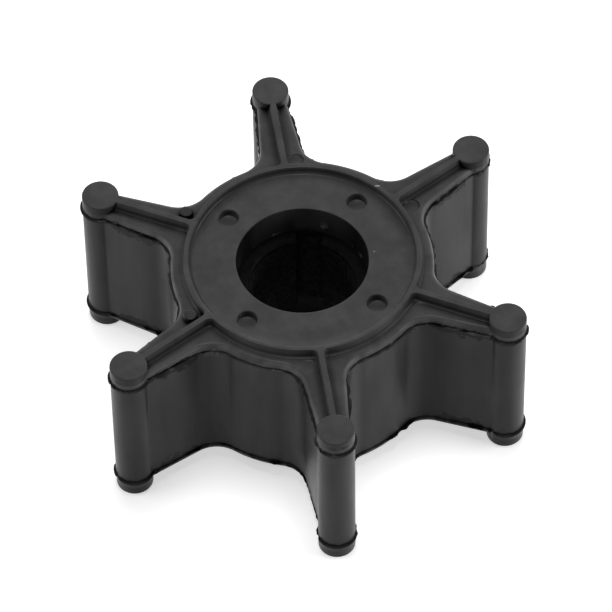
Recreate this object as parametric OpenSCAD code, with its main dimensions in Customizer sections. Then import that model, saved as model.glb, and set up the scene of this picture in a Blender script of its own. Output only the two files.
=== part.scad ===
// Water-pump impeller: a rubber moulding with bulb-tipped vanes, bonded to a keyed steel bush.
// The pump shaft runs along Z. The impeller stands on its lower end face at z = 0, with one vane along +X.
// Both end faces are alike, so every section below is drawn for one end and repeated for the other.

/* [Whole impeller] */
// Number of vanes around the hub
vane_count = 6; // [4:1:8]
// Height over the vane tips, the ribs and the sealing rings
height = 22.4; // [18:0.2:30]
// Diameter of the circle through the centres of the vane tips
tip_circle_d = 51.6; // [48:0.2:64]

/* [Vanes] */
// Diameter of the round bulb along the outer edge of each vane
tip_d = 4.4; // [4:0.1:5.6]
// Thickness that the vane has tapered to at the tip circle
vane_tip_w = 3.5; // [2.6:0.1:3.8]
// Thickness of the vane at the hub wall, before its fillets
vane_root_w = 5.4; // [4.4:0.1:6.2]
// Radius of the fillets between the vanes and the hub wall
root_fillet_r = 3.6; // [2:0.1:4.4]
// Radius of the fillets between the vanes and their bulbs
tip_fillet_r = 0.8; // [0.5:0.1:1.2]

/* [Hub] */
// Diameter of the hub wall between the vanes
hub_d = 31.2; // [30.6:0.1:33]
// Diameter of the round opening in the rubber at each end of the hub
opening_d = 15.6; // [15:0.1:17]
// Depth of the flat hub face below the sealing ring
face_drop = 0.85; // [0.4:0.05:1.4]
// Inner diameter of the raised sealing ring
ring_inner_d = 26.6; // [26.2:0.1:27.4]
// Width of the sealing ring at its foot
ring_w = 0.9; // [0.6:0.05:1.1]

/* [Shoulders and ribs] */
// Depth of the shoulder outside the sealing ring and beside the ribs
shoulder_drop = 1.1; // [0.6:0.05:1.6]
// Radius of the rounded outer edge of the shoulder
shoulder_r = 0.65; // [0.3:0.05:0.8]
// Width of the middle rib on each vane end, at its foot
rib_foot_w = 1.05; // [0.8:0.05:1.4]
// How far each side of a rib or ring leans in from its foot to its top, as mould draft
draft_inset = 0.18; // [0.05:0.01:0.25]

/* [Mould marks] */
// Depth of the mould's parting line below each end face
parting_drop = 2.2; // [1.9:0.1:3]
// How far the flash stands out at the parting line
flash_proud = 0.18; // [0.05:0.01:0.3]
// Thickness of the flash on the hub wall and the vanes
flash_t = 0.22; // [0.1:0.01:0.26]
// Thickness of the flash round the vane tips
tip_flash_t = 0.3; // [0.28:0.01:0.5]
// How far the flash stands out round the vane tips
tip_flash_proud = 0.3; // [0.1:0.01:0.4]
// Diameter of the ejector marks beside the vane roots
ejector_d = 1.7; // [1:0.1:1.9]
// Distance of the ejector marks from the axis, along their vane
ejector_reach = 15.45; // [14.9:0.05:15.8]
// Distance of the ejector marks from the middle of their vane
ejector_side = 1.6; // [1.5:0.05:1.8]
// Depth of the flush ejector marks
ejector_depth = 0.15; // [0.05:0.05:0.4]
// Height of the marks that were left standing as stubs
stub_h = 0.8; // [0.2:0.1:1]
// Number of locating-pin holes in the upper hub face
pin_count = 4; // [2:1:6]
// Diameter of the locating-pin holes
pin_d = 2.4; // [1.6:0.1:2.8]
// Depth of the locating-pin holes
pin_depth = 1.3; // [0.8:0.1:3]
// Diameter of the circle through the locating-pin holes
pin_circle_d = 21.8; // [20.6:0.1:23]
// Angle of the first locating-pin hole from the vane along X
pin_angle = 75; // [0:1:90]

/* [Drive bush] */
// Bore of the bush, which the pump shaft fills
bush_bore_d = 12.4; // [11:0.1:13]
// Outer diameter of the bush, where the rubber is bonded on
bush_d = 18.4; // [17.6:0.1:19.2]
// Length of the bush
bush_l = 12.4; // [8:0.2:14]
// Width of the keyway
key_w = 3.2; // [2:0.1:4]
// Depth of the keyway, measured out from the bore wall
key_depth = 1.3; // [0.8:0.1:1.4]
// Chamfer at both ends of the bush's bore
bush_chamfer = 0.3; // [0.1:0.05:0.5]
// Angle of the keyway from the vane along X
key_angle = 105; // [0:1:360]

/* [Hidden] */
$fn = 96;

tip_circle_r = tip_circle_d / 2;
tip_r = tip_d / 2;
hub_r = hub_d / 2;
opening_r = opening_d / 2;
ring_inner_r = ring_inner_d / 2;
ring_outer_r = ring_inner_r + ring_w;
bush_bore_r = bush_bore_d / 2;
bush_r = bush_d / 2;
bush_z = (height - bush_l) / 2;

// Vanes whose ejector marks were left standing as stubs, counted from the vane along X
STUB_VANES = [3, 4];
// Neighbouring solids of the moulding run this far into each other
overlap = 0.3;
// The root fillets run on inside the hub to this distance from the bush
root_depth = 2;
// Cuts run this far past the faces that they open
past = 1;
// The fillets sink this far into the walls that they join, so that they cross them cleanly
fillet_bite = 0.03;
// The rounded shoulder is drawn as bevels, one for each step of this many degrees
SHOULDER_STEP = 30;

// The flank of a vane leans inwards by this angle towards the tip
taper = atan((vane_root_w - vane_tip_w) / 2 / (tip_circle_r - hub_r));
// Distance of the flank's line from the shaft axis, square to the flank
flank_y = hub_r * sin(taper) + vane_root_w / 2 * cos(taper);
// Middle of the bulb, in axes that lie along and across the flank
bulb_middle = tip_circle_r * [cos(taper), sin(taper)];

// Centre of the root fillet in those axes, and where the fillet ends inside the hub
root_reach = hub_r + root_fillet_r - fillet_bite;
root_y = flank_y + root_fillet_r - fillet_bite;
root_centre = [sqrt(pow(root_reach, 2) - pow(root_y, 2)), root_y];
root_end = root_centre * (bush_r + root_depth) / root_reach;

// Centre of the fillet at the bulb in those axes, and where the fillet ends inside the bulb
tip_reach = tip_r + tip_fillet_r - fillet_bite;
tip_rise = flank_y + tip_fillet_r - fillet_bite - bulb_middle.y;
tip_centre = bulb_middle + [-sqrt(pow(tip_reach, 2) - pow(tip_rise, 2)), tip_rise];
tip_end = bulb_middle + (tip_centre - bulb_middle) * tip_r / 2 / tip_reach;

// Section of the moulding's outer edge, drawn once and carried round the whole outline.
// The wall is x = 0 and the rubber lies on the side of positive x, for the given depth.
module edge_section(depth) {
    low = shoulder_drop;
    high = height - shoulder_drop;
    shoulder = [for (a = [0 : SHOULDER_STEP : 90]) shoulder_r * [1 - cos(a), 1 - sin(a)]];
    polygon(concat(
        [for (point = shoulder) [point.x, low + point.y]],
        [[depth, low], [depth, high]],
        [for (i = [len(shoulder) - 1 : -1 : 0]) [shoulder[i].x, high - shoulder[i].y]]
    ));
    for (z = [parting_drop, height - parting_drop])
        translate([-flash_proud, z - flash_t / 2])
            square([flash_proud + shoulder_r, flash_t]);
}

// Hub: wall, flat faces, raised sealing rings and the seat that grips the bush
module hub() {
    core_r = hub_r - shoulder_r - overlap;
    rotate_extrude() {
        polygon([
            [opening_r, face_drop],
            [ring_inner_r, face_drop],
            [ring_inner_r + draft_inset, 0],
            [ring_outer_r - draft_inset, 0],
            [ring_outer_r, shoulder_drop],
            [core_r, shoulder_drop],
            [core_r, height - shoulder_drop],
            [ring_outer_r, height - shoulder_drop],
            [ring_outer_r - draft_inset, height],
            [ring_inner_r + draft_inset, height],
            [ring_inner_r, height - face_drop],
            [opening_r, height - face_drop],
            [opening_r, bush_z + bush_l],
            [bush_r, bush_z + bush_l],
            [bush_r, bush_z],
            [opening_r, bush_z]
        ]);
        translate([hub_r, 0])
            mirror([1, 0])
                edge_section(shoulder_r + 2 * overlap);
    }
}

// Fillet between a flank and a round wall: the edge section turned round the fillet's centre.
// It lies between the flank and the line from that centre to its end, inside the round wall.
module fillet(centre, r, end) {
    inner_y = min(flank_y - shoulder_r - overlap, end.y);
    rotate(-taper)
        intersection() {
            linear_extrude(height)
                polygon([end, [end.x, inner_y], [centre.x, inner_y], centre]);
            translate([centre.x, centre.y, 0])
                rotate_extrude()
                    translate([r, 0])
                        edge_section(hub_r);
        }
}

// Everything on one side of a vane's flank: the edge section run straight from the hub into the bulb
module flank_slab() {
    start_x = ring_inner_r;
    rotate(-taper)
        translate([start_x, flank_y, 0])
            rotate([90, 0, 90])
                linear_extrude(tip_circle_r * cos(taper) - start_x)
                    mirror([1, 0])
                        edge_section(2 * flank_y);
}

// Vane: what lies between its two flanks, with fillets at both ends of each flank
module vane() {
    intersection() {
        flank_slab();
        mirror([0, 1, 0])
            flank_slab();
    }
    for (side = [0, 1])
        mirror([0, side, 0]) {
            fillet(root_centre, root_fillet_r, root_end);
            fillet(tip_centre, tip_fillet_r, tip_end);
        }
}

// Middle rib on both ends of a vane, from the sealing ring to the bulb
module rib() {
    top_w = rib_foot_w - 2 * draft_inset;
    translate([ring_outer_r - ring_w / 2, 0, 0])
        rotate([90, 0, 90])
            linear_extrude(tip_circle_r - ring_outer_r + ring_w / 2)
                polygon([
                    [-top_w / 2, 0],
                    [top_w / 2, 0],
                    [rib_foot_w / 2, shoulder_drop],
                    [rib_foot_w / 2, height - shoulder_drop],
                    [top_w / 2, height],
                    [-top_w / 2, height],
                    [-rib_foot_w / 2, height - shoulder_drop],
                    [-rib_foot_w / 2, shoulder_drop]
                ]);
}

// Round bulb along the outer edge of a vane, with a line of flash near each end
module bulb() {
    translate([tip_circle_r, 0, 0]) {
        cylinder(r = tip_r, h = height);
        for (z = [parting_drop, height - parting_drop])
            translate([0, 0, z - tip_flash_t / 2])
                cylinder(r = tip_r + tip_flash_proud, h = tip_flash_t);
    }
}

module ejector_place(vane) {
    rotate(vane * 360 / vane_count)
        translate([ejector_reach, -ejector_side, height - shoulder_drop])
            children();
}

// Rubber moulding: hub, vanes, ribs and bulbs are one piece
module rubber_impeller() {
    color([0.2, 0.2, 0.2])
        difference() {
            union() {
                hub();
                for (i = [0 : vane_count - 1])
                    rotate(i * 360 / vane_count) {
                        vane();
                        rib();
                        bulb();
                    }
                for (i = STUB_VANES)
                    ejector_place(i)
                        translate([0, 0, -overlap])
                            cylinder(d = ejector_d, h = overlap + stub_h);
            }
            for (i = [0 : vane_count - 1])
                if (len(search(i, STUB_VANES)) == 0)
                    ejector_place(i)
                        translate([0, 0, -ejector_depth])
                            cylinder(d = ejector_d, h = ejector_depth + past);
            for (i = [0 : pin_count - 1])
                rotate(pin_angle + i * 360 / pin_count)
                    translate([pin_circle_d / 2, 0, height - face_drop - pin_depth])
                        cylinder(d = pin_d, h = pin_depth + past);
        }
}

// Drive bush: a turned steel sleeve with a keyway for the pump shaft's key
module drive_bush() {
    color([0.62, 0.62, 0.63])
        translate([0, 0, bush_z])
            difference() {
                rotate_extrude()
                    polygon([
                        [bush_bore_r + bush_chamfer, 0],
                        [bush_r, 0],
                        [bush_r, bush_l],
                        [bush_bore_r + bush_chamfer, bush_l],
                        [bush_bore_r, bush_l - bush_chamfer],
                        [bush_bore_r, bush_chamfer]
                    ]);
                rotate(key_angle)
                    translate([0, -key_w / 2, -past])
                        cube([bush_bore_r + key_depth, key_w, bush_l + 2 * past]);
            }
}

rubber_impeller();
drive_bush();
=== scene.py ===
import math

import bmesh
import bpy
from mathutils import Matrix, Vector, noise


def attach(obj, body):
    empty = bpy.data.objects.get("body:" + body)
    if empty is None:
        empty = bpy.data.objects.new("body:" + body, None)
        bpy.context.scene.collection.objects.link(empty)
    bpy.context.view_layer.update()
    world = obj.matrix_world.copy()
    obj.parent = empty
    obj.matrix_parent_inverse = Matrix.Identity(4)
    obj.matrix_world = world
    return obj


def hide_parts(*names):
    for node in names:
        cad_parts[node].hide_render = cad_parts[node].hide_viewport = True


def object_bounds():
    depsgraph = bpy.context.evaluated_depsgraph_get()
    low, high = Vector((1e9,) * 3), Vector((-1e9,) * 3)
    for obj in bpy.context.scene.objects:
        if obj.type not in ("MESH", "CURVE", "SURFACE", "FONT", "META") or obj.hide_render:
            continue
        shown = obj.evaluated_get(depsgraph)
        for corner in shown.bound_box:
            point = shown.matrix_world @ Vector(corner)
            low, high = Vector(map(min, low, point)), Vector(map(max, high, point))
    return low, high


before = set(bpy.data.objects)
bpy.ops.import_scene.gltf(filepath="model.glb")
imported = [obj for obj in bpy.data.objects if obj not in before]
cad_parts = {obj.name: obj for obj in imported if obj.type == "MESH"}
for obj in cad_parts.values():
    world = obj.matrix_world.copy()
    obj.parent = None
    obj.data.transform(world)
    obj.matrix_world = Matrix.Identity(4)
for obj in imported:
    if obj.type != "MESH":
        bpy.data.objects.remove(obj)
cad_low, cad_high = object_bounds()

# The camera
# A long lens looks down on the impeller from between two of its vanes, with the camera a degree off level.
# The angles and the distance come from a fit to the outlines of the six tips in the photograph.
VIEW_AZIMUTH = 22.2
VIEW_ELEVATION = 52.05
VIEW_ROLL = -1.02
LENS_DISTANCE = 0.62743
FOCAL_LENGTH = 313.5
SIGHT_ACROSS = 0.00034
SIGHT_UP = -0.00595
SENSOR_WIDTH = 36
NEAREST_SEEN = 0.05
FARTHEST_SEEN = 20

top_of_axis = Vector((0, 0, cad_high.z))
turn_to_view = Matrix.Rotation(math.radians(VIEW_AZIMUTH), 3, "Z")
elevation = math.radians(VIEW_ELEVATION)
forward = turn_to_view @ Vector((0, math.cos(elevation), -math.sin(elevation)))
across = turn_to_view @ Vector((1, 0, 0))
upward = turn_to_view @ Vector((0, math.sin(elevation), math.cos(elevation)))
roll = math.radians(VIEW_ROLL)
camera_right = math.cos(roll) * across + math.sin(roll) * upward
camera_up = math.cos(roll) * upward - math.sin(roll) * across

camera_data = bpy.data.cameras.new("product_camera")
camera_data.sensor_width = SENSOR_WIDTH
camera_data.lens = FOCAL_LENGTH
camera_data.clip_start = NEAREST_SEEN
camera_data.clip_end = FARTHEST_SEEN
camera = bpy.data.objects.new("product_camera", camera_data)
bpy.context.scene.collection.objects.link(camera)
place = top_of_axis + SIGHT_ACROSS * across + SIGHT_UP * upward - LENS_DISTANCE * forward
axes = Matrix((camera_right, camera_up, -forward)).transposed()
camera.matrix_world = Matrix.Translation(place) @ axes.to_4x4()
bpy.context.scene.camera = camera

# The table and the light
# The impeller stands on a white table. Its glow keeps it white to the eye, but is left out below the hub,
# as painted shade.
# Soft boxes stand low at the left and right, higher behind and overhead, in a faint even light.
TABLE_HALF_WIDTH = 3.0
TABLE_GAP = 0.00002
TABLE_WHITE = 0.84
TABLE_GLOW = 0.58
TABLE_DARK_R = 0.009
TABLE_BRIGHT_R = 0.0155
SKY_STRENGTH = 0.1
LAMP_DISTANCE = 1.0
LARGE_BOX = 0.62
SMALL_BOX = 0.34

view_settings = bpy.context.scene.view_settings
view_settings.view_transform = "Standard"


def background_for_eye_and_gloss(nodes, links, lit_shader, seen_shader):
    """The first shader lights the object; the camera, reflections and glass see the second."""
    path = nodes.new("ShaderNodeLightPath")
    camera_or_gloss = nodes.new("ShaderNodeMath")
    camera_or_gloss.operation = "MAXIMUM"
    links.new(path.outputs["Is Camera Ray"], camera_or_gloss.inputs[0])
    links.new(path.outputs["Is Glossy Ray"], camera_or_gloss.inputs[1])
    seen = nodes.new("ShaderNodeMath")
    seen.operation = "MAXIMUM"
    links.new(camera_or_gloss.outputs[0], seen.inputs[0])
    links.new(path.outputs["Is Transmission Ray"], seen.inputs[1])
    mix = nodes.new("ShaderNodeMixShader")
    links.new(seen.outputs[0], mix.inputs["Fac"])
    links.new(lit_shader.outputs[0], mix.inputs[1])
    links.new(seen_shader.outputs[0], mix.inputs[2])
    return mix


world = bpy.data.worlds.new("faint_light")
world.use_nodes = True
bpy.context.scene.world = world
nodes, links = world.node_tree.nodes, world.node_tree.links
nodes.clear()
cloth = nodes.new("ShaderNodeBackground")
cloth.inputs["Color"].default_value = (1, 1, 1, 1)
cloth.inputs["Strength"].default_value = SKY_STRENGTH
white_cloth = nodes.new("ShaderNodeBackground")
white_cloth.inputs["Color"].default_value = (1, 1, 1, 1)
white_cloth.inputs["Strength"].default_value = 1.0
world_mix = background_for_eye_and_gloss(nodes, links, cloth, white_cloth)
world_out = nodes.new("ShaderNodeOutputWorld")
links.new(world_mix.outputs[0], world_out.inputs["Surface"])


def soft_lamp(name, watts, size, azimuth, height):
    """A square lamp aimed at the impeller, its azimuth counted from the camera's side."""
    data = bpy.data.lights.new(name, "AREA")
    data.shape = "SQUARE"
    data.size = size
    data.energy = watts
    lamp = bpy.data.objects.new(name, data)
    bpy.context.scene.collection.objects.link(lamp)
    level = -forward
    level.z = 0
    level.normalize()
    side = Matrix.Rotation(math.radians(azimuth), 3, "Z") @ level
    lift = math.radians(height)
    toward_lamp = side * math.cos(lift) + Vector((0, 0, math.sin(lift)))
    lamp.location = LAMP_DISTANCE * toward_lamp
    lamp.rotation_euler = toward_lamp.to_track_quat("Z", "Y").to_euler()


soft_lamp("left_box", watts=4.4, size=LARGE_BOX, azimuth=-90, height=18)
soft_lamp("right_box", watts=7.6, size=LARGE_BOX, azimuth=90, height=18)
soft_lamp("rear_box", watts=3.2, size=LARGE_BOX, azimuth=180, height=30)
soft_lamp("top_box", watts=4.3, size=SMALL_BOX, azimuth=180, height=84)

table_mesh = bpy.data.meshes.new("table")
unit_corners = ((-1, -1), (1, -1), (1, 1), (-1, 1))
table_corners = [(TABLE_HALF_WIDTH * x, TABLE_HALF_WIDTH * y, 0) for x, y in unit_corners]
table_mesh.from_pydata(table_corners, [], [(0, 1, 2, 3)])
table = bpy.data.objects.new("table", table_mesh)
bpy.context.scene.collection.objects.link(table)
table.location.z = -TABLE_GAP
table_top = bpy.data.materials.new("white_table")
table_top.use_nodes = True
nodes, links = table_top.node_tree.nodes, table_top.node_tree.links
nodes.clear()
board = nodes.new("ShaderNodeBsdfDiffuse")
board.inputs["Color"].default_value = (TABLE_WHITE, TABLE_WHITE, TABLE_WHITE, 1)
table_place = nodes.new("ShaderNodeTexCoord")
off_centre = nodes.new("ShaderNodeVectorMath")
off_centre.operation = "LENGTH"
links.new(table_place.outputs["Object"], off_centre.inputs[0])
# Painted shade: the glow fades out below the hub, inside TABLE_BRIGHT_R.
open_table = nodes.new("ShaderNodeMapRange")
open_table.interpolation_type = "SMOOTHSTEP"
open_table.inputs["From Min"].default_value = TABLE_DARK_R
open_table.inputs["From Max"].default_value = TABLE_BRIGHT_R
open_table.inputs["To Max"].default_value = TABLE_GLOW
links.new(off_centre.outputs["Value"], open_table.inputs["Value"])
glow = nodes.new("ShaderNodeEmission")
glow.inputs["Color"].default_value = (1, 1, 1, 1)
links.new(open_table.outputs["Result"], glow.inputs["Strength"])
bright_board = nodes.new("ShaderNodeAddShader")
links.new(board.outputs[0], bright_board.inputs[0])
links.new(glow.outputs[0], bright_board.inputs[1])
table_mix = background_for_eye_and_gloss(nodes, links, board, bright_board)
seen_through = nodes.new("ShaderNodeBsdfTransparent")
table_side = nodes.new("ShaderNodeNewGeometry")
one_way = nodes.new("ShaderNodeMixShader")
links.new(table_side.outputs["Backfacing"], one_way.inputs["Fac"])
links.new(table_mix.outputs[0], one_way.inputs[1])
links.new(seen_through.outputs[0], one_way.inputs[2])
table_out = nodes.new("ShaderNodeOutputMaterial")
links.new(one_way.outputs[0], table_out.inputs["Surface"])
table_mesh.materials.append(table_top)

# The rubber moulding
# One piece of black nitrile rubber, pressed in a steel mould: hub, sealing rings, vanes, ribs and bulbs.
# The mould left flash at its parting lines, marks from its ejector pins and holes from its locating pins.
MM = 0.001
VANES = 6
PITCH = 360 / VANES
HEIGHT = cad_high.z / MM
TIP_CIRCLE_R = 25.8
BULB_R = 2.2
VANE_TIP_HALF = 1.75
VANE_ROOT_HALF = 2.7
ROOT_FILLET_R = 3.6
TIP_FILLET_R = 0.8
TIP_BITE = 0.02
HUB_R = 15.6
OPENING_R = 7.8
FACE_DROP = 0.85
RING_INNER_R = 13.3
RING_OUTER_R = 14.2
SHELF_DROP = 1.1
SHOULDER_R = 0.65
RIB_FOOT_HALF = 0.525
RIB_CORNER_R = 0.5
RIB_FOOT_END, RIB_SIDE_END, RIB_EDGE_END, RIB_TOP_END, RIB_SPINE_END = 24.8, 24.9, 25.0, 25.05, 25.15
DRAFT = 0.18
EDGE_R = 0.07
FOOT_FILLET_R = 0.25
RING_FOOT_R = RING_INNER_R + 0.05
FACE_FILLET = 0.5
FACE_RISE = 0.08
FACE_RISE_STEP = 0.3
RIM_R = 0.12
RIB_TOP_DROP = 0.006
PARTING_DROP = 2.2
LIP_INSET = 0.04
FLASH_T = 0.22
FLASH_CREST_HALF = 0.04
FLASH_LEAST = 0.05
FLASH_MOST = 0.62
FLASH_FRAY = 0.12
FLASH_WANDER = 0.12
FLASH_REACH = 0.5
TIP_FLASH = 0.13
TIP_FLASH_PROUD = 0.29
BUSH_SEAT_R = 9.2
BUSH_SEAT_DROP = 5.0

TIP_STEPS = 6
FLANK_STEPS = 30
FILLET_STEPS = 20
WALL_STEPS = 14
CORNER_STEPS = 8
ROUND_STEPS = 5
RISE_STEPS = 4
GAP_STEPS = TIP_STEPS + FLANK_STEPS + FILLET_STEPS + 1

lean = math.atan((VANE_ROOT_HALF - VANE_TIP_HALF) / (TIP_CIRCLE_R - HUB_R))
flank_line = HUB_R * math.sin(lean) + VANE_ROOT_HALF * math.cos(lean)


def turned(point, degrees):
    a = math.radians(degrees)
    x, y = point
    return x * math.cos(a) - y * math.sin(a), x * math.sin(a) + y * math.cos(a)


def half_gap(start, line, slope, corner_r, wall_r, line_steps, corner_steps):
    """Half of the gap beside the vane along X, from its start to the middle of the wall.

    It runs straight beside the vane, line away from the axis, then round a corner and along a round wall.
    """
    centre_y = line + corner_r
    centre_x = math.sqrt((wall_r + corner_r) ** 2 - centre_y**2)
    meets = math.degrees(math.atan2(centre_y, centre_x))
    first_x = start[-1][0]
    points = start + [(first_x + (centre_x - first_x) * i / line_steps, line) for i in range(1, line_steps)]
    for i in range(corner_steps + 1):
        a = math.radians(-90 - i * (90 - meets) / corner_steps)
        points.append((centre_x + corner_r * math.cos(a), centre_y + corner_r * math.sin(a)))
    points = [turned(p, -math.degrees(slope)) for p in points]
    first = meets - math.degrees(slope)
    for i in range(1, WALL_STEPS + 1):
        a = math.radians(first + i * (PITCH / 2 - first) / WALL_STEPS)
        points.append((wall_r * math.cos(a), wall_r * math.sin(a)))
    return points


def all_gaps(half):
    """Both halves of every gap, as one loop of points round the impeller."""
    mirrored = [turned((x, -y), PITCH) for x, y in reversed(half[:-1])]
    return [turned(p, k * PITCH) for k in range(VANES) for p in half + mirrored]


def tip_curve(inset):
    """The fillet between bulb and flank, from a point inside the bulb to the start of the flank."""
    bulb_x, bulb_y = turned((TIP_CIRCLE_R, 0), math.degrees(lean))
    y = flank_line + TIP_FILLET_R
    x = bulb_x - math.sqrt((BULB_R + TIP_FILLET_R - TIP_BITE) ** 2 - (y - bulb_y) ** 2)
    toward_bulb = math.atan2(bulb_y - y, bulb_x - x)
    r = TIP_FILLET_R + inset
    points = [(x + (r + 1) * math.cos(toward_bulb), y + (r + 1) * math.sin(toward_bulb))]
    for i in range(TIP_STEPS + 1):
        a = toward_bulb + (-math.pi / 2 - toward_bulb) * i / TIP_STEPS
        points.append((x + r * math.cos(a), y + r * math.sin(a)))
    return points


def outer_loop(inset):
    """The outline of hub wall and vanes, drawn in from the wall by inset."""
    corner_r, wall_r = ROOT_FILLET_R + inset, HUB_R - inset
    half = half_gap(tip_curve(inset), flank_line - inset, lean, corner_r, wall_r, FLANK_STEPS, FILLET_STEPS)
    return all_gaps(half)


def rib_loop(inset, end):
    """The outline of sealing ring and ribs, drawn in from their foot by inset."""
    line = RIB_FOOT_HALF - inset
    corner_r, wall_r = RIB_CORNER_R + inset, RING_OUTER_R - inset
    half = half_gap([(end, line)], line, 0, corner_r, wall_r, GAP_STEPS - CORNER_STEPS, CORNER_STEPS)
    return all_gaps(half)


def spine_loop(ring_r, end):
    """The middle lines of the ribs and the inner edge of the ring, point by point beside rib_loop."""
    half = [(end + (ring_r - end) * i / GAP_STEPS, 0) for i in range(GAP_STEPS + 1)]
    for i in range(1, WALL_STEPS + 1):
        a = math.radians(i * PITCH / 2 / WALL_STEPS)
        half.append((ring_r * math.cos(a), ring_r * math.sin(a)))
    return all_gaps(half)


def round_loop(r):
    """A circle with the same points as the ring's inner edge in spine_loop."""
    count = VANES * 2 * WALL_STEPS
    return [turned((r, 0), i * 360 / count) for i in range(count)]


def rag(x, y, z, scale):
    """An uneven value between 0 and 1, with scale waves to the millimetre."""
    return min(max(0.5 + 0.9 * noise.noise(Vector((x * scale, y * scale, z * scale))), 0), 1)


def flash_growth(x, y, z):
    """How far the flash stands out at a place: nearly clean for some millimetres, then ragged."""
    torn_run = rag(x, y, z, 0.23) * (0.25 + 0.75 * rag(x, y, z, 1.1))
    return FLASH_LEAST + FLASH_MOST * torn_run + FLASH_FRAY * (rag(x, y, z + 9, 2.6) - 0.5)


def flash_loop(z, side):
    """The crest of the flash: it stands out unevenly and wanders a little up and down."""
    plain = outer_loop(0)
    far = outer_loop(-FLASH_REACH)
    crest = []
    for (x, y), (far_x, far_y) in zip(plain, far):
        grown = max(flash_growth(x, y, side), 0.02) / FLASH_REACH
        up = FLASH_WANDER * (rag(x, y, side + 5, 0.6) - 0.5)
        crest.append((x + (far_x - x) * grown, y + (far_y - y) * grown, z + up))
    return crest


def at_height(loop, z):
    return [(x, y, z) for x, y in loop]


def upper_loops(side):
    """The loops from the middle of the wall up to the spine of the ribs. Their z is 0 at the top.

    side tells the upper half from the lower one, so that their flash isn't torn alike.
    """
    loops = []
    for drop in (HEIGHT / 2, 7.0, 3.2):
        loops.append(at_height(outer_loop(0), -drop))
    loops.append(at_height(outer_loop(0), -PARTING_DROP - FLASH_T / 2))
    loops.append(flash_loop(-PARTING_DROP - FLASH_CREST_HALF, side))
    loops.append(flash_loop(-PARTING_DROP + FLASH_CREST_HALF, side))
    loops.append(at_height(outer_loop(LIP_INSET), -PARTING_DROP + FLASH_T / 2))
    loops.append(at_height(outer_loop(LIP_INSET), -SHELF_DROP - SHOULDER_R - 0.08))
    for i in range(ROUND_STEPS + 1):
        a = math.radians(90 * i / ROUND_STEPS)
        inset = LIP_INSET + (SHOULDER_R - LIP_INSET) * (1 - math.cos(a))
        loops.append(at_height(outer_loop(inset), -SHELF_DROP - SHOULDER_R * (1 - math.sin(a))))
    loops.append(at_height(outer_loop(SHOULDER_R + 0.05), -SHELF_DROP))
    loops.append(at_height(rib_loop(-FOOT_FILLET_R - 0.04, RIB_FOOT_END), -SHELF_DROP))
    for i in range(ROUND_STEPS + 1):
        a = math.radians(80 * i / ROUND_STEPS)
        out = FOOT_FILLET_R * (1 - math.sin(a))
        rise = FOOT_FILLET_R * (1 - math.cos(a))
        loops.append(at_height(rib_loop(DRAFT * rise / SHELF_DROP - out, RIB_SIDE_END), -SHELF_DROP + rise))
    for i in range(3):
        a = math.radians(10 + 40 * i)
        inset = DRAFT + EDGE_R * (1 - math.cos(a)) - 0.01
        loops.append(at_height(rib_loop(inset, RIB_EDGE_END), -RIB_TOP_DROP - EDGE_R * (1 - math.sin(a))))
    loops.append(at_height(rib_loop(DRAFT + EDGE_R + 0.02, RIB_TOP_END), -RIB_TOP_DROP))
    loops.append(at_height(spine_loop(RING_INNER_R + DRAFT + EDGE_R, RIB_SPINE_END), -RIB_TOP_DROP))
    return loops


def ring_and_bore():
    """Radii and heights of the turned surfaces inside the ring, from its top down to the bush's seat."""
    profile = []
    for i in range(3):
        a = math.radians(90 - 40 * i)
        drop = RIB_TOP_DROP + EDGE_R * (1 - math.sin(a))
        profile.append((RING_INNER_R + DRAFT + EDGE_R * (1 - math.cos(a)), -drop))
    for i in range(ROUND_STEPS + 2):
        a = math.radians(10 + 80 * i / (ROUND_STEPS + 1))
        rise = FACE_FILLET * (1 - math.sin(a))
        profile.append((RING_FOOT_R - FACE_FILLET * (1 - math.cos(a)), -FACE_DROP + FACE_RISE + rise))
    for i in range(1, RISE_STEPS + 1):
        rise = FACE_RISE * (1 - i / RISE_STEPS) ** 2
        profile.append((RING_FOOT_R - FACE_FILLET - FACE_RISE_STEP * i, -FACE_DROP + rise))
    profile += [(10.0, -FACE_DROP), (OPENING_R + 0.32, -FACE_DROP)]
    for i in range(ROUND_STEPS + 1):
        a = math.radians(90 * i / ROUND_STEPS)
        profile.append((OPENING_R + RIM_R * (1 - math.sin(a)), -FACE_DROP - RIM_R * (1 - math.cos(a))))
    profile += [(OPENING_R, -drop) for drop in (1.6, 2.4, 3.4, BUSH_SEAT_DROP)]
    return profile + [(BUSH_SEAT_R, -BUSH_SEAT_DROP), (BUSH_SEAT_R, -HEIGHT / 2)]


def skin(mesh, rows, closed=True):
    """Quads between neighbouring loops of equally many points."""
    count = len(rows[0])
    for lower, upper in zip(rows, rows[1:]):
        for i in range(count if closed else count - 1):
            k = (i + 1) % count
            corners = [lower[i], lower[k], upper[k], upper[i]]
            distinct = list(dict.fromkeys(corners))
            if len(distinct) > 2:
                mesh.faces.new(distinct)


def moulding_core():
    """Hub, ring, vanes and ribs as one closed mesh, symmetrical about half height."""
    mesh = bmesh.new()
    full = [[(x, y, HEIGHT + z) for x, y, z in loop] for loop in upper_loops(0)]
    mirrored = [[(x, y, -z) for x, y, z in loop] for loop in reversed(upper_loops(50)[1:])]
    bore = ring_and_bore()
    down = [[(x, y, HEIGHT + z) for x, y in round_loop(r)] for r, z in bore]
    up = [[(x, y, -z) for x, y in round_loop(r)] for r, z in reversed(bore[:-1])]
    for loops in (mirrored + full, down + up):
        rows = [[mesh.verts.new(p) for p in loop] for loop in loops]
        skin(mesh, rows)
    bmesh.ops.remove_doubles(mesh, verts=mesh.verts, dist=1e-4)
    flat = [f for f in mesh.faces if f.calc_area() < 1e-9]
    bmesh.ops.delete(mesh, geom=flat, context="FACES")
    bmesh.ops.recalc_face_normals(mesh, faces=mesh.faces)
    return mesh


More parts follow.
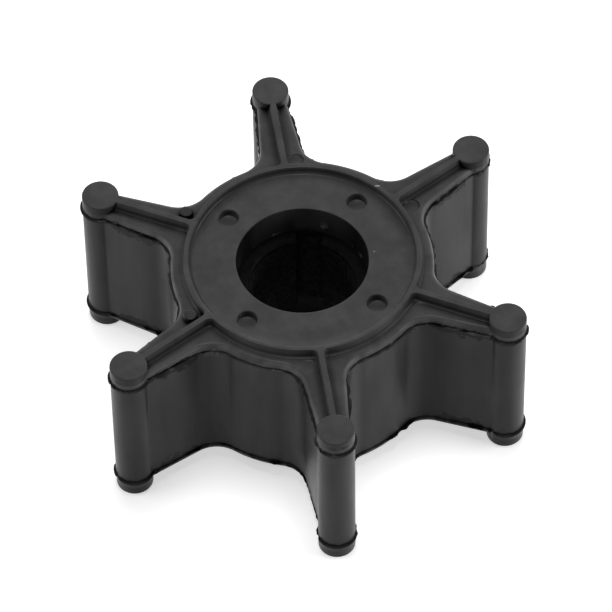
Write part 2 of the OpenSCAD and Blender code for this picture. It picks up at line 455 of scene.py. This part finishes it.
def turned_solid(profile, steps, place, sway=None):
    """A closed solid turned from radii and heights, its ends on the axis. sway moves a point outwards."""
    mesh = bmesh.new()
    rows = []
    for r, z in profile[1:-1]:
        ring = []
        for i in range(steps):
            x, y = turned((r, 0), i * 360 / steps)
            swell = 1 + (sway(x, y, r, z) if sway else 0) / r
            ring.append(mesh.verts.new((x * swell, y * swell, z)))
        rows.append(ring)
    skin(mesh, rows)
    bottom = mesh.verts.new((0, 0, profile[0][1]))
    top = mesh.verts.new((0, 0, profile[-1][1]))
    for i in range(steps):
        k = (i + 1) % steps
        mesh.faces.new((bottom, rows[0][k], rows[0][i]))
        mesh.faces.new((top, rows[-1][i], rows[-1][k]))
    bmesh.ops.transform(mesh, matrix=place, verts=mesh.verts)
    bmesh.ops.recalc_face_normals(mesh, faces=mesh.faces)
    return mesh


BULB_RIM_R = 0.18
BULB_WAIST_R = BULB_R + 0.01
COLLAR_HALF = 0.17
COLLAR_CREST_HALF = 0.06


def bulb_profile():
    """Half section of a bulb: a straight cylinder with rounded rims, and flash where the mould parts."""
    end = [(0, 0), (1.2, 0), (BULB_R - BULB_RIM_R - 0.06, 0)]
    for i in range(ROUND_STEPS + 1):
        a = math.radians(90 * i / ROUND_STEPS)
        end.append((BULB_R - BULB_RIM_R * (1 - math.sin(a)), BULB_RIM_R * (1 - math.cos(a))))
    crest_r = BULB_R + TIP_FLASH
    end += [(BULB_R, PARTING_DROP - COLLAR_HALF), (crest_r, PARTING_DROP - COLLAR_CREST_HALF)]
    end += [(crest_r, PARTING_DROP + COLLAR_CREST_HALF), (BULB_WAIST_R, PARTING_DROP + COLLAR_HALF)]
    return end + [(BULB_WAIST_R, HEIGHT / 2)] + [(r, HEIGHT - z) for r, z in reversed(end)]


def bulb_sway(vane):
    """How the crest of a bulb's flash departs from its plain collar, for this vane's bulb."""
    def sway(x, y, r, z):
        if r < BULB_R + TIP_FLASH - 0.03:
            return 0
        grown = 1.6 * flash_growth(x + 7 * vane, y, 9 * (z > HEIGHT / 2)) - 0.05
        return min(max(grown, 0.02), TIP_FLASH_PROUD) - TIP_FLASH
    return sway


STUB_VANES = (3, 4)
MARK_DEPTHS = ((0, 0.03), (1, 0.13), (2, 0.1), (5, 0.03))
EJECTOR_R = 0.85
EJECTOR_REACH = 15.45
EJECTOR_SIDE = 1.6
STUB_HEIGHT = 0.8


def ejector_place(vane):
    turn = Matrix.Rotation(math.radians(vane * PITCH), 4, "Z")
    return turn @ Matrix.Translation((EJECTOR_REACH, -EJECTOR_SIDE, HEIGHT - SHELF_DROP))


def stub_profile():
    """Where an ejector pin sat too deep, the rubber stands up behind it as a low stub."""
    side = [(EJECTOR_R + 0.06, -0.6), (EJECTOR_R + 0.03, 0), (EJECTOR_R - 0.04, STUB_HEIGHT - 0.22)]
    edge = [(EJECTOR_R - 0.09, STUB_HEIGHT - 0.08), (EJECTOR_R - 0.2, STUB_HEIGHT - 0.01)]
    return [(0, -0.6)] + side + edge + [(EJECTOR_R - 0.3, STUB_HEIGHT), (0, STUB_HEIGHT - 0.03)]


def mark_profile(depth):
    """The shallow print of an ejector pin that sat nearly flush, cut from above the shelf."""
    floor = [(0, -depth), (EJECTOR_R - 0.12, -depth), (EJECTOR_R - 0.03, -0.77 * depth)]
    rim = [(EJECTOR_R, -0.38 * depth), (EJECTOR_R + 0.04, -0.08 * depth)]
    return floor + rim + [(EJECTOR_R + 0.05, 0.9), (0, 0.9)]


PIN_R = 1.2
PIN_DEPTH = 1.0
PIN_CIRCLE_R = 10.9
PIN_ANGLES = (75, 165, 255, 345)


def pin_place(angle):
    turn = Matrix.Rotation(math.radians(angle), 4, "Z")
    return turn @ Matrix.Translation((PIN_CIRCLE_R, 0, HEIGHT - FACE_DROP))


def pin_profile():
    """The hole that a locating pin leaves: a flat floor with a soft corner, and a slightly rounded rim."""
    floor = [(0, -PIN_DEPTH), (PIN_R - 0.28, -PIN_DEPTH)]
    corner = [(PIN_R - 0.1, -PIN_DEPTH + 0.06), (PIN_R - 0.03, -PIN_DEPTH + 0.2)]
    rim = [(PIN_R, -0.2), (PIN_R + 0.03, -0.08), (PIN_R + 0.09, -0.015)]
    return floor + corner + rim + [(PIN_R + 0.11, 1.0), (0, 1.0)]


def as_object(name, meshes):
    """One object, in metres, from any number of millimetre meshes."""
    whole = bmesh.new()
    for mesh in meshes:
        piece = bpy.data.meshes.new("piece")
        mesh.to_mesh(piece)
        mesh.free()
        whole.from_mesh(piece)
        bpy.data.meshes.remove(piece)
    bmesh.ops.scale(whole, vec=(MM, MM, MM), verts=whole.verts)
    data = bpy.data.meshes.new(name)
    whole.to_mesh(data)
    whole.free()
    made = bpy.data.objects.new(name, data)
    bpy.context.scene.collection.objects.link(made)
    return made


def carve(body, other, operation):
    """Joins or cuts body with the other object, which is used up."""
    step = body.modifiers.new(operation.lower(), "BOOLEAN")
    step.operation = operation
    step.solver = "EXACT"
    step.object = other
    made = bpy.data.meshes.new_from_object(body.evaluated_get(bpy.context.evaluated_depsgraph_get()))
    body.modifiers.clear()
    used = body.data
    body.data = made
    bpy.data.meshes.remove(used)
    spent = other.data
    bpy.data.objects.remove(other)
    bpy.data.meshes.remove(spent)


impeller = as_object("rubber_moulding", [moulding_core()])
grown = []
for vane in range(VANES):
    turn = Matrix.Rotation(math.radians(vane * PITCH), 4, "Z")
    spot = turn @ Matrix.Translation((TIP_CIRCLE_R, 0, 0))
    grown.append(turned_solid(bulb_profile(), 90, spot, bulb_sway(vane)))
grown += [turned_solid(stub_profile(), 40, ejector_place(vane)) for vane in STUB_VANES]
carve(impeller, as_object("bulbs", grown), "UNION")
sunk = [turned_solid(mark_profile(depth), 40, ejector_place(vane)) for vane, depth in MARK_DEPTHS]
sunk += [turned_solid(pin_profile(), 48, pin_place(angle)) for angle in PIN_ANGLES]
carve(impeller, as_object("mould_pins", sunk), "DIFFERENCE")

SHARP_ANGLE = 32

smooth = bmesh.new()
smooth.from_mesh(impeller.data)
for face in smooth.faces:
    face.smooth = True
for edge in smooth.edges:
    edge.smooth = edge.is_manifold and edge.calc_face_angle(0) < math.radians(SHARP_ANGLE)
smooth.to_mesh(impeller.data)
smooth.free()
even = impeller.modifiers.new("even_normals", "WEIGHTED_NORMAL")
even.keep_sharp = True


def value_group(name, inputs, output):
    """A node group whose sockets are all floats. It gives back the group, its inputs and its output."""
    group = bpy.data.node_groups.new(name, "ShaderNodeTree")
    for label, value in inputs:
        socket = group.interface.new_socket(label, in_out="INPUT", socket_type="NodeSocketFloat")
        socket.default_value = value
    group.interface.new_socket(output, in_out="OUTPUT", socket_type="NodeSocketFloat")
    return group, group.nodes.new("NodeGroupInput"), group.nodes.new("NodeGroupOutput")


def give(tree, socket, value):
    """Sets a socket to a number, or links it to another node's output."""
    if isinstance(value, (int, float)):
        socket.default_value = value
    else:
        tree.links.new(value, socket)


def calculate(tree, operation, *values):
    """A math node. Each value is a number or another node's output."""
    node = tree.nodes.new("ShaderNodeMath")
    node.operation = operation
    for socket, value in zip(node.inputs, values):
        give(tree, socket, value)
    return node.outputs[0]


def product(tree, *values):
    """All the values multiplied."""
    made = values[0]
    for value in values[1:]:
        made = calculate(tree, "MULTIPLY", made, value)
    return made


def ramp(tree, value, low, high, out_low=0.0, out_high=1.0):
    """A smooth step of value from low to high."""
    node = tree.nodes.new("ShaderNodeMapRange")
    node.interpolation_type = "SMOOTHSTEP"
    tree.links.new(value, node.inputs["Value"])
    for label, limit in (("From Min", low), ("From Max", high), ("To Min", out_low), ("To Max", out_high)):
        give(tree, node.inputs[label], limit)
    return node.outputs["Result"]


def band(tree, value, start, end):
    """1 along a stretch of value. start and end are the pairs between which it comes and goes."""
    return product(tree, ramp(tree, value, *start), ramp(tree, value, *end, 1.0, 0.0))


def changed(tree, shade, mask, share):
    """shade, made lighter by a share of itself where mask is 1, or darker where share is below 0."""
    return product(tree, shade, calculate(tree, "ADD", 1.0, product(tree, mask, share)))


def place_in_mm(tree):
    """The x, y and z of the surface, in millimetres from the axis and from the lower end face."""
    where = tree.nodes.new("ShaderNodeTexCoord")
    scaled = tree.nodes.new("ShaderNodeVectorMath")
    scaled.operation = "SCALE"
    scaled.inputs["Scale"].default_value = 1 / MM
    tree.links.new(where.outputs["Object"], scaled.inputs[0])
    parts = tree.nodes.new("ShaderNodeSeparateXYZ")
    tree.links.new(scaled.outputs[0], parts.inputs[0])
    return parts.outputs


def length(tree, a, b):
    """The length of a line in the plan, from its two parts."""
    return calculate(tree, "SQRT", calculate(tree, "ADD", product(tree, a, a), product(tree, b, b)))


def reach(tree, x, y, degrees):
    """How far a place lies from the axis in one direction of the plan."""
    part_x, part_y = turned((1, 0), degrees)
    return calculate(tree, "ADD", product(tree, x, part_x), product(tree, y, part_y))


def patches_group():
    """Soft uneven patches. Upright below 1 draws them out along the mould's opening direction."""
    inputs = [("Per mm", 0.3), ("Upright", 1.0), ("Detail", 2.0)]
    group, given, result = value_group("soft_patches", inputs, "Patches")
    x, y, z = place_in_mm(group)
    per_mm = given.outputs["Per mm"]
    joined = group.nodes.new("ShaderNodeCombineXYZ")
    group.links.new(product(group, x, per_mm), joined.inputs[0])
    group.links.new(product(group, y, per_mm), joined.inputs[1])
    group.links.new(product(group, z, per_mm, given.outputs["Upright"]), joined.inputs[2])
    cloud = group.nodes.new("ShaderNodeTexNoise")
    cloud.inputs["Scale"].default_value = 1.0
    group.links.new(given.outputs["Detail"], cloud.inputs["Detail"])
    group.links.new(joined.outputs[0], cloud.inputs["Vector"])
    group.links.new(ramp(group, cloud.outputs["Fac"], 0.3, 0.7), result.inputs[0])
    return group


NEARNESS_SAMPLES = 8


def nearness(group, distance, inside):
    """1 where nothing of the piece lies within the distance, outside its surface or inside it."""
    near = group.nodes.new("ShaderNodeAmbientOcclusion")
    near.samples = NEARNESS_SAMPLES
    near.inside = inside
    near.only_local = True
    group.links.new(distance, near.inputs["Distance"])
    return near.outputs["AO"]


def crease_shading_group():
    """1 on open surfaces, falling to 0 in tight corners, where painted shade goes."""
    group, given, result = value_group("crease_shading", [("Reach", 0.001), ("Depth", 0.5)], "Unshaded")
    open_share = nearness(group, given.outputs["Reach"], inside=False)
    group.links.new(ramp(group, open_share, given.outputs["Depth"], 1.0), result.inputs[0])
    return group


def edge_group():
    """1 on sharp outer edges, where the surface is rubbed, and 0 on flat and hollow ones."""
    group, given, result = value_group("rubbed_edges", [("Reach", 0.0003)], "Rubbed")
    thinness = calculate(group, "SUBTRACT", 1.0, nearness(group, given.outputs["Reach"], inside=True))
    group.links.new(ramp(group, thinness, 0.5, 1.0), result.inputs[0])
    return group


soft_patches = patches_group()
crease_shading = crease_shading_group()
rubbed_edges = edge_group()


def placed(tree, group, **values):
    """The output of one group node, with its inputs set. An underscore stands for a space in a name."""
    node = tree.nodes.new("ShaderNodeGroup")
    node.node_tree = group
    for label, value in values.items():
        node.inputs[label.replace("_", " ")].default_value = value
    return node.outputs[0]


def as_grey(tree, value):
    """A neutral colour of that value."""
    colour = tree.nodes.new("ShaderNodeCombineColor")
    for channel in ("Red", "Green", "Blue"):
        tree.links.new(value, colour.inputs[channel])
    return colour.outputs[0]


BUMP_DISTANCE = 0.0001


def relief(tree, height, strength):
    """The surface normal of a fine relief."""
    bump = tree.nodes.new("ShaderNodeBump")
    bump.inputs["Strength"].default_value = strength
    bump.inputs["Distance"].default_value = BUMP_DISTANCE
    tree.links.new(height, bump.inputs["Height"])
    return bump.outputs["Normal"]


RUBBER_GREY = 0.043
RUBBER_SPECULAR = 0.09
HALF = HEIGHT / 2
PARTING_HEIGHT = HALF - PARTING_DROP
SHELF_Z = HEIGHT - SHELF_DROP
PIN_FLOOR_Z = HEIGHT - FACE_DROP - PIN_DEPTH

rubber = bpy.data.materials.new("black_nitrile_rubber")
rubber.use_nodes = True
tree = rubber.node_tree
finish = tree.nodes["Principled BSDF"]
finish.inputs["Specular IOR Level"].default_value = RUBBER_SPECULAR
x, y, z = place_in_mm(tree)
from_axis = length(tree, x, y)
from_middle = calculate(tree, "ABSOLUTE", calculate(tree, "SUBTRACT", z, HALF))
outside_bore = ramp(tree, from_axis, OPENING_R + 0.1, OPENING_R + 0.4)
outside_ring = ramp(tree, from_axis, RING_INNER_R + 0.1, RING_INNER_R + 0.5)
above_bush = ramp(tree, z, 18.0, 18.5)

# The rubber is a little cloudy, and streaked along the mould's opening direction.
CLOUDY_SHADES = (0.86, 1.1)
STREAK_SHADES = (0.92, 1.06)
cloudy = placed(tree, soft_patches, Per_mm=0.28, Upright=0.35, Detail=2.0)
streaks = placed(tree, soft_patches, Per_mm=0.9, Upright=0.08, Detail=3.0)
shade = ramp(tree, cloudy, 0.0, 1.0, *CLOUDY_SHADES)
shade = product(tree, shade, ramp(tree, streaks, 0.0, 1.0, *STREAK_SHADES))

# Painted shade darkens the corners, the hollows between the vanes and the vanes' roots, not the hub's face.
CORNER_SHADE = 0.12
HOLLOW_SHADE = 0.35
ROOT_SHADE = 0.42
on_hub_face = product(tree, ramp(tree, from_axis, 12.3, 12.8, 1.0, 0.0), above_bush)
corners = calculate(tree, "MAXIMUM", placed(tree, crease_shading, Reach=0.00075, Depth=0.45), on_hub_face)
hollows = calculate(tree, "MAXIMUM", placed(tree, crease_shading, Reach=0.008, Depth=0.3), on_hub_face)
shade = product(tree, shade, ramp(tree, corners, 0.0, 1.0, CORNER_SHADE, 1.0))
shade = product(tree, shade, ramp(tree, hollows, 0.0, 1.0, HOLLOW_SHADE, 1.0))
at_roots = band(tree, from_axis, (15.8, 16.9), (18.0, 21.0))
at_roots = product(tree, at_roots, ramp(tree, from_middle, HALF - 2.4, HALF - 1.9, 1.0, 0.0))
shade = changed(tree, shade, at_roots, -ROOT_SHADE)

# Dark torn seams lie at the parting lines, deepened by painted shadow under the flash.
# On the vanes they are darker, and the painted shadow spreads towards half height.
SEAM_HALF_WIDTHS = (0.2, 0.42)
SEAM_AND_SHADOW_HUB = 0.5
SEAM_AND_SHADOW_VANE = 0.13
SEAM_SPREAD = 0.42
torn = placed(tree, soft_patches, Per_mm=1.1, Upright=1.0, Detail=4.0)
on_vane = product(tree, ramp(tree, from_axis, 16.5, 19.0), ramp(tree, from_axis, 22.8, 23.8, 1.0, 0.4))
outwards = calculate(tree, "SUBTRACT", from_middle, PARTING_HEIGHT)
inwards = calculate(tree, "SUBTRACT", PARTING_HEIGHT, from_middle)
inwards = product(tree, inwards, ramp(tree, on_vane, 0.0, 1.0, 1.0, SEAM_SPREAD))
off_line = calculate(tree, "MAXIMUM", outwards, inwards)
half_width = product(
    tree, ramp(tree, torn, 0.0, 1.0, *SEAM_HALF_WIDTHS), ramp(tree, on_vane, 0.0, 1.0, 0.9, 1.5)
)
vane_and_tear = calculate(tree, "SUBTRACT", on_vane, product(tree, torn, 0.3))
seam_shade = ramp(tree, vane_and_tear, -0.2, 0.5, SEAM_AND_SHADOW_HUB, SEAM_AND_SHADOW_VANE)
seam_and_shadow = ramp(tree, calculate(tree, "SUBTRACT", off_line, half_width), -0.08, 0.08, seam_shade, 1.0)
seam_and_shadow = calculate(tree, "MAXIMUM", seam_and_shadow, calculate(tree, "SUBTRACT", 1.0, outside_ring))
shade = product(tree, shade, seam_and_shadow)

# The shoulder is painted lighter in runs, as a painted highlight.
SHOULDER_HIGHLIGHT = 1.3
shoulder = band(tree, from_middle, (HALF - 1.95, HALF - 1.6), (HALF - 1.35, HALF - 1.05))
in_runs = ramp(tree, placed(tree, soft_patches, Per_mm=0.3, Upright=1.0, Detail=2.0), 0.0, 1.0, 0.25, 1.0)
shade = changed(tree, shade, product(tree, shoulder, outside_ring, in_runs), SHOULDER_HIGHLIGHT)

# Painted shade darkens the foot of the ring on the side away from the camera, and a line at its inner edge
# a quarter turn from there. It is fixed to the part.
LIGHT_AND_SHADE_DIRECTION = 112
FOOT_SHADE = 0.45
LINE_SHADE = 0.4
light_and_shade_side = reach(tree, x, y, LIGHT_AND_SHADE_DIRECTION)
ring_foot = product(tree, band(tree, from_axis, (11.9, 13.1), (13.3, 13.5)), above_bush)
shade = changed(tree, shade, product(tree, ring_foot, ramp(tree, light_and_shade_side, -2.0, 9.0)), -FOOT_SHADE)
line_side = reach(tree, x, y, LIGHT_AND_SHADE_DIRECTION + 90)
ring_line = product(tree, band(tree, from_axis, (12.9, 13.15), (13.3, 13.45)), above_bush)
shade = changed(tree, shade, product(tree, ring_line, ramp(tree, line_side, 5.0, 12.0)), -LINE_SHADE)

# Painted shadow lies on the shelf beside some of the ribs: 1 stands for the side that is counter-clockwise
# from the vane's middle.
SHADED_GROOVES = ((0, -1), (1, -1), (2, -1), (2, 1), (3, 1), (4, 1), (5, -1), (5, 1))
GROOVE_SHADE = 0.58
on_shelf = band(tree, z, (SHELF_Z - 0.2, SHELF_Z - 0.05), (SHELF_Z + 0.15, SHELF_Z + 0.6))
on_shelf = product(tree, on_shelf, ramp(tree, from_axis, 14.6, 16.5))
for vane, side in SHADED_GROOVES:
    groove = band(tree, reach(tree, x, y, vane * PITCH + 90 * side), (0.2, 0.35), (0.7, 1.5))
    outer_part = ramp(tree, reach(tree, x, y, vane * PITCH), 10.0, 12.0)
    shade = changed(tree, shade, product(tree, groove, on_shelf, outer_part), -GROOVE_SHADE)

# The floors of the locating pins' holes are painted lighter, as painted light, and four ejector marks are
# stained.
PIN_FLOOR_LIGHT = 0.15
STAINED_VANES = (1, 2, 3, 4)
STAIN = 0.5
pin_floors = band(tree, z, (PIN_FLOOR_Z - 0.2, PIN_FLOOR_Z - 0.1), (PIN_FLOOR_Z + 0.07, PIN_FLOOR_Z + 0.3))
near_pins = band(
    tree, from_axis, (PIN_CIRCLE_R - 1.9, PIN_CIRCLE_R - 1.4), (PIN_CIRCLE_R + 1.4, PIN_CIRCLE_R + 1.9)
)
shade = changed(tree, shade, product(tree, pin_floors, near_pins), PIN_FLOOR_LIGHT)
for vane in STAINED_VANES:
    mark_x, mark_y = turned((EJECTOR_REACH, -EJECTOR_SIDE), vane * PITCH)
    off_mark = length(tree, calculate(tree, "SUBTRACT", x, mark_x), calculate(tree, "SUBTRACT", y, mark_y))
    stain = product(
        tree, ramp(tree, off_mark, EJECTOR_R - 0.2, EJECTOR_R + 0.25, 1.0, 0.0),
        ramp(tree, z, SHELF_Z - 0.5, SHELF_Z - 0.2)
    )
    shade = changed(tree, shade, stain, -STAIN)

# Painted shade darkens the bore, most deeply towards its lower end, and less on the side away from the
# camera, where the wall is painted lighter, as painted light.
BORE_SHADE = 0.13
LIT_BORE_SHADE = 0.95
DEEP_BORE_SHADE = 0.15
bore_shading = ramp(tree, light_and_shade_side, 4.5, 8.0, BORE_SHADE, LIT_BORE_SHADE)
bore_shading = product(tree, bore_shading, ramp(tree, z, 9.0, 13.0, DEEP_BORE_SHADE, 1.0))
shade = product(tree, shade, ramp(tree, from_axis, OPENING_R + 0.02, OPENING_R + RIM_R, bore_shading, 1.0))

# Sharp edges are rubbed a little lighter.
RUBBED_SHADE = 1.5
rubbed = product(tree, placed(tree, rubbed_edges, Reach=0.0003), torn)
shade = product(tree, shade, ramp(tree, rubbed, 0.2, 1.0, 1.0, RUBBED_SHADE))
grey = product(tree, shade, RUBBER_GREY)

# Painted glints fleck the torn flash, and painted glints lie at the foot of the opening's wall, on that
# side.
FLASH_GLINT_GREY = 0.06
WALL_GLINT_GREY = 0.16
on_flash = band(tree, outwards, (0.05, 0.2), (0.4, 0.6))
flash_glints = placed(tree, soft_patches, Per_mm=1.5, Upright=1.0, Detail=4.0)
flash_glints = product(tree, ramp(tree, flash_glints, 0.65, 1.0, 0.0, FLASH_GLINT_GREY), on_flash, outside_ring)
grey = calculate(tree, "ADD", grey, flash_glints)
wall_glints = placed(tree, soft_patches, Per_mm=0.8, Upright=0.8, Detail=5.0)
at_foot = product(tree, band(tree, z, (17.3, 17.5), (18.2, 19.8)), ramp(tree, light_and_shade_side, 1.0, 6.5))
at_foot = product(tree, at_foot, calculate(tree, "SUBTRACT", 1.0, outside_bore))
wall_glints = product(tree, ramp(tree, wall_glints, 0.75, 1.0, 0.0, WALL_GLINT_GREY), at_foot)
grey = calculate(tree, "ADD", grey, wall_glints)

# Two nicks in the upper side: distance from the axis, angle, radius, slenderness and brightness.
NICKS = ((8.57, 29.5, 0.13, 1.0, 0.12), (13.8, 71.0, 0.42, 4.0, 0.3))
NICK_LEAN = 22
on_top = ramp(tree, z, HEIGHT - 1.0, HEIGHT - 0.9)
for distance, angle, size, slender, bright in NICKS:
    nick_x, nick_y = turned((distance, 0), angle - NICK_LEAN)
    lengthwise = calculate(tree, "SUBTRACT", reach(tree, x, y, NICK_LEAN), nick_x)
    sidewise = calculate(tree, "SUBTRACT", reach(tree, x, y, NICK_LEAN + 90), nick_y)
    off_nick = length(tree, lengthwise, product(tree, sidewise, slender))
    nick = product(tree, ramp(tree, off_nick, size * 0.6, size, bright, 0.0), on_top)
    grey = calculate(tree, "ADD", grey, nick)
tree.links.new(as_grey(tree, grey), finish.inputs["Base Color"])

RUBBER_ROUGHNESS = (0.29, 0.37)
RUBBED_ROUGHNESS = 0.1
RUBBER_GRAIN = 0.05
dull_patches = placed(tree, soft_patches, Per_mm=0.35, Upright=0.4, Detail=1.0)
dull = ramp(tree, dull_patches, 0.0, 1.0, *RUBBER_ROUGHNESS)
dull = calculate(tree, "ADD", dull, product(tree, rubbed, RUBBED_ROUGHNESS))
tree.links.new(dull, finish.inputs["Roughness"])
grain = placed(tree, soft_patches, Per_mm=7.0, Upright=1.0, Detail=3.0)
tree.links.new(relief(tree, grain, RUBBER_GRAIN), finish.inputs["Normal"])
impeller.data.materials.clear()
impeller.data.materials.append(rubber)
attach(impeller, "root")
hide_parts("rubber_impeller")

# The drive bush
# A turned steel sleeve, bonded into the hub while the rubber is moulded, with a keyway for the shaft's key.
# A dull film of rubber covers it and its fine turning marks, but for the worn edges. Its colour is painted
# near black, as painted shade, and darker still in its creases and near its top.
FILM_AND_SHADE_GREY = 0.016
STEEL_GREY = 0.3
FILM_SPECULAR = 0.03
FILM_SHADES = (0.6, 1.3)
CREASE_SHADE = 0.3
TOP_SHADE = 0.2
FILM_ROUGHNESS = (0.6, 0.42)
TURNS = 28.0
TURNING_DEPTH = 0.1

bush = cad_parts["drive_bush"]
steel = bpy.data.materials.new("shaded_filmed_steel")
steel.use_nodes = True
tree = steel.node_tree
finish = tree.nodes["Principled BSDF"]
finish.inputs["Specular IOR Level"].default_value = FILM_SPECULAR
x, y, z = place_in_mm(tree)
film_patches = placed(tree, soft_patches, Per_mm=1.6, Upright=1.0, Detail=4.0)
worn = product(tree, placed(tree, rubbed_edges, Reach=0.0003), ramp(tree, film_patches, 0.75, 0.95))
# Painted shade: CREASE_SHADE darkens the creases and TOP_SHADE the top end.
uncreased = placed(tree, crease_shading, Reach=0.001, Depth=0.4)
grey = ramp(tree, worn, 0.0, 1.0, FILM_AND_SHADE_GREY, STEEL_GREY)
grey = product(tree, grey, ramp(tree, film_patches, 0.0, 1.0, *FILM_SHADES))
grey = product(tree, grey, ramp(tree, uncreased, 0.0, 1.0, CREASE_SHADE, 1.0))
grey = product(tree, grey, ramp(tree, z, 16.3, 16.9, 1.0, TOP_SHADE))
tree.links.new(as_grey(tree, grey), finish.inputs["Base Color"])
tree.links.new(worn, finish.inputs["Metallic"])
tree.links.new(ramp(tree, film_patches, 0.0, 1.0, *FILM_ROUGHNESS), finish.inputs["Roughness"])
turned_path = calculate(tree, "ADD", length(tree, x, y), z)
turning_marks = calculate(tree, "SINE", product(tree, turned_path, TURNS))
marked_film = calculate(tree, "ADD", turning_marks, film_patches)
tree.links.new(relief(tree, marked_film, TURNING_DEPTH), finish.inputs["Normal"])
for material_slot in bush.material_slots:
    material_slot.material = steel
